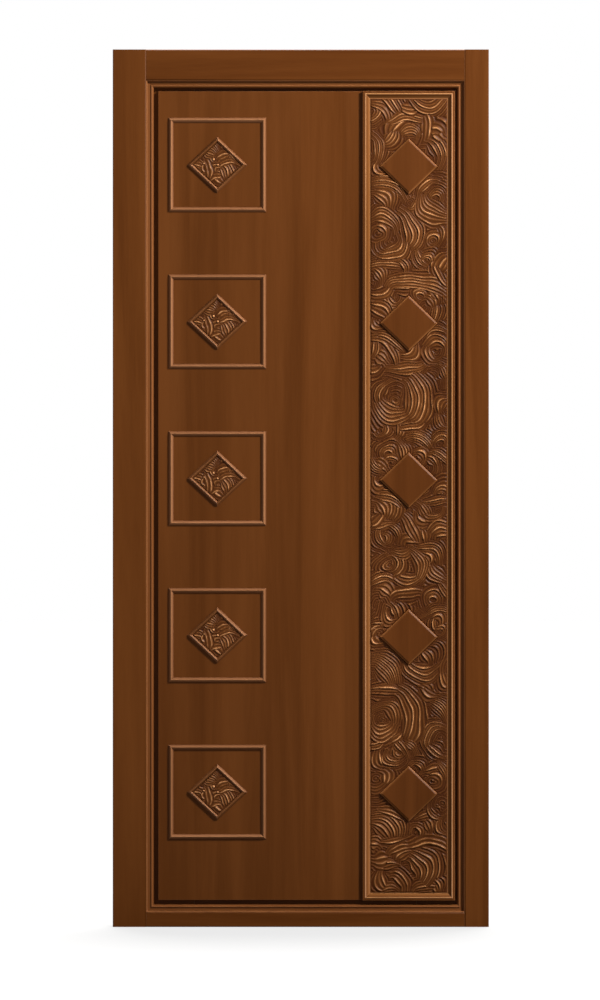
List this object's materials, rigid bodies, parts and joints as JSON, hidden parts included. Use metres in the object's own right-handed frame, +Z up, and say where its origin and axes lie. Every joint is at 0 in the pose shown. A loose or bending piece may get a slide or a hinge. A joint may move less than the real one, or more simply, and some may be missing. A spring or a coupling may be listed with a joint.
{
  "type": "carved door with frame",
  "caption": "Hinged wooden door in its own frame, with a tall panel of carved waves, planted diamonds and framed carved tiles.",
  "frame": {"origin": "under the middle of the sill, halfway through the frame's depth", "axes": "+Z up, +X to the right as the carved front is seen, -Y towards the viewer of the carved front"},
  "size_m": [0.9, 0.0715, 2.1],
  "materials": {
    "frame_wood": "satin lacquer",
    "moulding_wood": "satin lacquer",
    "leaf_wood": "satin lacquer",
    "field_wood": "satin lacquer",
    "bead_wood": "satin lacquer",
    "carving_wood": "satin lacquer",
    "hinge_metal": "worn satin"
  },
  "bodies": {
    "frame": {"jamb_left": "frame_wood", "jamb_right": "frame_wood", "head": "frame_wood", "sill": "frame_wood", "stop_moulding_left": "moulding_wood", "stop_moulding_right": "moulding_wood", "stop_moulding_top": "moulding_wood", "stop_moulding_bottom": "moulding_wood", "hinge_frame_plate_1": "hinge_metal", "hinge_frame_plate_2": "hinge_metal", "hinge_frame_plate_3": "hinge_metal", "hinge_pin_1": "hinge_metal", "hinge_pin_2": "hinge_metal", "hinge_pin_3": "hinge_metal"},
    "leaf": {"stile_hinge": "leaf_wood", "stile_lock": "leaf_wood", "rail_top": "leaf_wood", "rail_mid": "leaf_wood", "rail_bottom": "leaf_wood", "panel_upper": "leaf_wood", "panel_lower": "leaf_wood", "field_board": "field_wood", "carved_panel": "carving_wood", "panel_bead_left": "bead_wood", "panel_bead_right": "bead_wood", "panel_bead_top": "bead_wood", "panel_bead_bottom": "bead_wood", "plain_diamond_1": "carving_wood", "plain_diamond_2": "carving_wood", "plain_diamond_3": "carving_wood", "plain_diamond_4": "carving_wood", "plain_diamond_5": "carving_wood", "square_bead_1": "bead_wood", "square_bead_2": "bead_wood", "square_bead_3": "bead_wood", "square_bead_4": "bead_wood", "square_bead_5": "bead_wood", "diamond_bead_1": "bead_wood", "diamond_bead_2": "bead_wood", "diamond_bead_3": "bead_wood", "diamond_bead_4": "bead_wood", "diamond_bead_5": "bead_wood", "carved_tile_1": "carving_wood", "carved_tile_2": "carving_wood", "carved_tile_3": "carving_wood", "carved_tile_4": "carving_wood", "carved_tile_5": "carving_wood", "hinge_leaf_plate_1": "hinge_metal", "hinge_leaf_plate_2": "hinge_metal", "hinge_leaf_plate_3": "hinge_metal"}
  },
  "joints": [
    {"name": "leaf_swing", "type": "hinge", "parent": "frame", "child": "leaf", "pos_m": [-0.3685, 0.036, 1.05], "axis": [0, 0, 1], "range_deg": [0, 175]}
  ]
}
